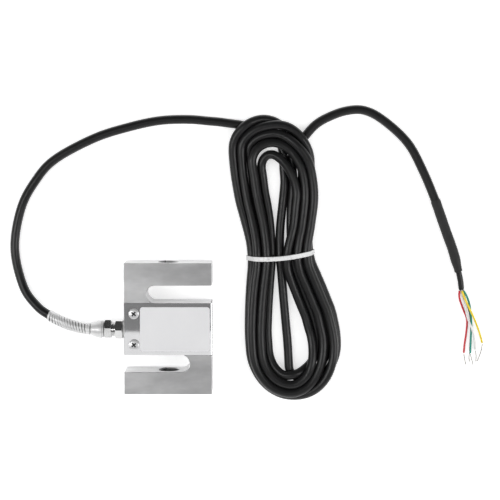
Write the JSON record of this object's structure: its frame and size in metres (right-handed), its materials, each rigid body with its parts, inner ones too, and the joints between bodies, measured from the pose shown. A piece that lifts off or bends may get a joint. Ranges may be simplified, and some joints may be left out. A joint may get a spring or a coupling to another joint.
{
  "type": "s-type load cell",
  "caption": "S-shaped steel load cell with threaded load holes in both arms, a covered gauge cavity, and a cable held in a spring-guarded gland, coiled in a tied hank with bare wire ends.",
  "frame": {"origin": "under the middle of the steel body, on the surface that the cell lies on, with the body on its back", "axes": "+X across the cell towards the hank, +Y along the load axis towards the upper arm, +Z through the thickness towards the labelled side"},
  "size_m": [0.2784, 0.1716, 0.0234],
  "materials": {
    "beam_steel": "matt nickel plating over ground steel",
    "cover_sheet": "bright rolled sheet",
    "screw_steel": "bright plating",
    "label_film": "bare silver-grey film",
    "gland_metal": "bright nickel plating",
    "washer_fibre": "matt",
    "seal_rubber": "matt",
    "spring_steel": "drawn flat wire",
    "gauge_film": "amber backing film",
    "board_resin": "solder resist",
    "lead_copper": "enamelled",
    "core_film": "wrapped cores",
    "cable_jacket": "extruded, slightly satin",
    "tie_nylon": "satin",
    "heat_shrink": "matt",
    "insulation_red": "extruded",
    "insulation_yellow": "extruded",
    "insulation_green": "extruded",
    "insulation_white": "extruded",
    "insulation_black": "extruded",
    "tinned_copper": "tinned strands"
  },
  "bodies": {
    "root": {"beam_body": "beam_steel", "cover_shell": "cover_sheet", "cover_screw_front_upper": "screw_steel", "cover_screw_front_lower": "screw_steel", "cover_screw_back_upper": "screw_steel", "cover_screw_back_lower": "screw_steel", "label_plate": "label_film", "gland_body": "gland_metal", "seal_washer": "washer_fibre", "clamp_nut": "gland_metal", "guard_ferrule": "gland_metal", "gland_grommet": "seal_rubber", "spring_guard": "spring_steel", "strain_gauge_1": "gauge_film", "strain_gauge_2": "gauge_film", "strain_gauge_3": "gauge_film", "strain_gauge_4": "gauge_film", "terminal_board": "board_resin", "gauge_lead_1": "lead_copper", "gauge_lead_2": "lead_copper", "gauge_lead_3": "lead_copper", "gauge_lead_4": "lead_copper", "core_bundle": "core_film", "cable_gland_run": "cable_jacket", "cable_guard_run": "cable_jacket", "cable_lead": "cable_jacket", "cable_hank": "cable_jacket", "cable_tail": "cable_jacket", "hank_tie": "tie_nylon", "heat_shrink_sleeve": "heat_shrink", "inner_sheath": "cable_jacket", "wire_red": "insulation_red", "wire_yellow": "insulation_yellow", "wire_green": "insulation_green", "wire_white": "insulation_white", "wire_black": "insulation_black", "wire_tip_red": "tinned_copper", "wire_tip_yellow": "tinned_copper", "wire_tip_green": "tinned_copper", "wire_tip_white": "tinned_copper", "wire_tip_black": "tinned_copper"}
  },
  "joints": []
}
